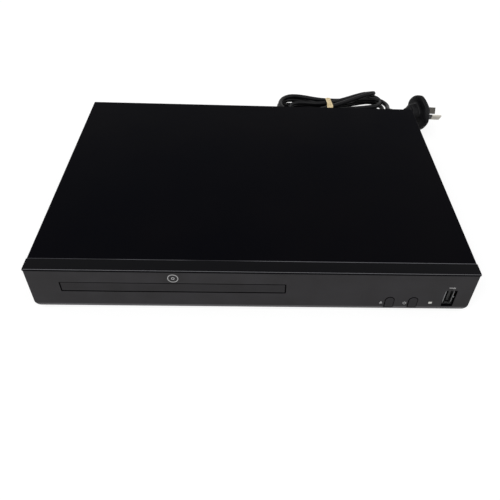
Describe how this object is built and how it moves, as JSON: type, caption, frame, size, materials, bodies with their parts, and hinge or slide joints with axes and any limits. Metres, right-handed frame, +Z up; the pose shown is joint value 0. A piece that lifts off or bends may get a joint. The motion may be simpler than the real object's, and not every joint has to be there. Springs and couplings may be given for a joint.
{
  "type": "dvd player",
  "caption": "Slim DVD player with a front-loading disc tray, two front buttons, an upright USB port, rear sockets and a mains lead tied in a hank.",
  "frame": {"origin": "middle of the player's box, at the bottom of its feet", "axes": "+X to the right seen from the front, +Y to the rear, +Z up"},
  "size_m": [0.3382, 0.2882, 0.0383],
  "materials": {
    "cover_paint": "semi-gloss black lacquer on folded steel",
    "galvanised_steel": "zinc-coated sheet steel",
    "panel_plastic": "black ABS, gloss strip over a fine matte face",
    "door_plastic": "black ABS, fine matte",
    "button_plastic": "black ABS, fine matte",
    "lens_plastic": "clear light pipe",
    "tray_plastic": "black ABS, moulded",
    "loader_plastic": "dark grey ABS, moulded",
    "gear_plastic": "white acetal",
    "steel": "bright steel",
    "screw_steel": "black zinc",
    "rubber": "black rubber",
    "board_laminate": "green solder mask on glass laminate",
    "paper_laminate": "brown paper laminate",
    "chip_plastic": "black moulded epoxy",
    "capacitor_sleeve": "printed sleeve, bare of text",
    "socket_plastic": "black PBT",
    "jack_metal": "nickel-plated brass",
    "collar_plastic": "coloured rings",
    "ferrite": "sintered ferrite",
    "winding_tape": "yellow polyester tape",
    "heatsink_aluminium": "extruded",
    "fuse_glass": "glass tube",
    "ribbon_plastic": "white flat cable",
    "lens_glass": "coated lens",
    "cord_rubber": "black PVC",
    "band_paper": "tan rubber band",
    "plug_plastic": "black PVC, moulded",
    "pin_metal": "nickel-plated brass"
  },
  "bodies": {
    "chassis": {"base_pan": "galvanised_steel", "feet": "rubber", "rear_panel": "galvanised_steel", "top_cover": "cover_paint", "cover_screws": "screw_steel", "front_panel": "panel_plastic", "front_board": "paper_laminate", "key_switches": "socket_plastic", "indicator_lens": "lens_plastic", "indicator_lamp": "lens_plastic", "infrared_sensor": "chip_plastic", "usb_shell": "steel", "usb_tongue": "socket_plastic", "loader_frame": "loader_plastic", "loading_motor": "steel", "drive_belt": "rubber", "clamp_bridge": "steel", "main_board": "board_laminate", "board_chips": "chip_plastic", "board_capacitors": "capacitor_sleeve", "jack_block": "socket_plastic", "jack_barrels": "jack_metal", "jack_collars": "collar_plastic", "hdmi_socket": "steel", "power_board": "paper_laminate", "chassis_screws": "screw_steel", "transformer_core": "ferrite", "transformer_winding": "winding_tape", "bulk_capacitor": "capacitor_sleeve", "heat_sink": "heatsink_aluminium", "power_transistor": "chip_plastic", "fuse": "fuse_glass", "ribbon_cable": "ribbon_plastic", "cord_gland": "cord_rubber", "mains_lead": "cord_rubber", "cord_tail": "cord_rubber", "cord_hank": "cord_rubber", "cord_band": "band_paper", "plug_body": "plug_plastic", "plug_pins": "pin_metal"},
    "tray": {"tray": "tray_plastic", "tray_door": "door_plastic"},
    "drive_gear": {"drive_gear": "gear_plastic"},
    "pulley_gear": {"pulley_gear": "gear_plastic"},
    "motor_pulley": {"motor_pulley": "gear_plastic"},
    "clamp_puck": {"clamp_puck": "loader_plastic"},
    "deck": {"traverse_deck": "steel", "spindle_motor": "steel", "guide_rods": "steel", "sled_motor": "steel"},
    "cam_slider": {"cam_slider": "gear_plastic"},
    "turntable": {"turntable": "loader_plastic"},
    "pickup": {"pickup": "loader_plastic", "pickup_lens": "lens_glass"},
    "sled_gear": {"sled_gear": "gear_plastic"},
    "sled_pinion": {"sled_pinion": "gear_plastic"},
    "eject_button": {"eject_button": "button_plastic", "eject_plunger": "gear_plastic"},
    "power_button": {"power_button": "button_plastic", "power_plunger": "gear_plastic"}
  },
  "joints": [
    {"name": "tray_slide", "type": "slide", "parent": "chassis", "child": "tray", "axis": [0, -1, 0], "range_m": [0, 0.132]},
    {"name": "drive_gear_spin", "type": "hinge", "parent": "chassis", "child": "drive_gear", "pos_m": [-0.0202, -0.086, 0.015], "axis": [0, 0, 1], "range_deg": [-1262, 0]},
    {"name": "pulley_gear_spin", "type": "hinge", "parent": "chassis", "child": "pulley_gear", "pos_m": [-0.0394, -0.086, 0.015], "axis": [0, 0, 1], "range_deg": [0, 3783]},
    {"name": "motor_pulley_spin", "type": "hinge", "parent": "chassis", "child": "motor_pulley", "pos_m": [-0.095, -0.086, 0.015], "axis": [0, 0, 1], "range_deg": [0, 11035]},
    {"name": "deck_tilt", "type": "hinge", "parent": "chassis", "child": "deck", "pos_m": [-0.0542, 0.048, 0.0146], "axis": [1, 0, 0], "range_deg": [0, 3]},
    {"name": "cam_slide", "type": "slide", "parent": "chassis", "child": "cam_slider", "axis": [1, 0, 0], "range_m": [0, 0.00586]},
    {"name": "turntable_spin", "type": "hinge", "parent": "deck", "child": "turntable", "pos_m": [-0.0542, -0.044, 0.02], "axis": [0, 0, 1], "continuous": true},
    {"name": "puck_spin", "type": "hinge", "parent": "chassis", "child": "clamp_puck", "pos_m": [-0.0542, -0.044, 0.027], "axis": [0, 0, 1], "continuous": true},
    {"name": "pickup_slide", "type": "slide", "parent": "deck", "child": "pickup", "axis": [0, 1, 0], "range_m": [0, 0.034]},
    {"name": "sled_gear_spin", "type": "hinge", "parent": "deck", "child": "sled_gear", "pos_m": [-0.0258, 0.009, 0.016], "axis": [0, 0, 1], "range_deg": [-272, 0]},
    {"name": "sled_pinion_spin", "type": "hinge", "parent": "deck", "child": "sled_pinion", "pos_m": [-0.0258, 0.0198, 0.016], "axis": [0, 0, 1], "range_deg": [0, 542]},
    {"name": "eject_press", "type": "slide", "parent": "chassis", "child": "eject_button", "axis": [0, 1, 0], "range_m": [0, 0.0006], "stiffness_N_per_m": 2000},
    {"name": "power_press", "type": "slide", "parent": "chassis", "child": "power_button", "axis": [0, 1, 0], "range_m": [0, 0.0006], "stiffness_N_per_m": 2000}
  ],
  "couplings": [
    {"joint": "drive_gear_spin", "follows": "tray_slide", "rad_per_m": -166.67},
    {"joint": "pulley_gear_spin", "follows": "tray_slide", "rad_per_m": 500},
    {"joint": "motor_pulley_spin", "follows": "tray_slide", "rad_per_m": 1458.9},
    {"joint": "cam_slide", "follows": "deck_tilt", "m_per_rad": 0.1118},
    {"joint": "sled_gear_spin", "follows": "pickup_slide", "rad_per_m": -138.89},
    {"joint": "sled_pinion_spin", "follows": "pickup_slide", "rad_per_m": 277.78}
  ]
}
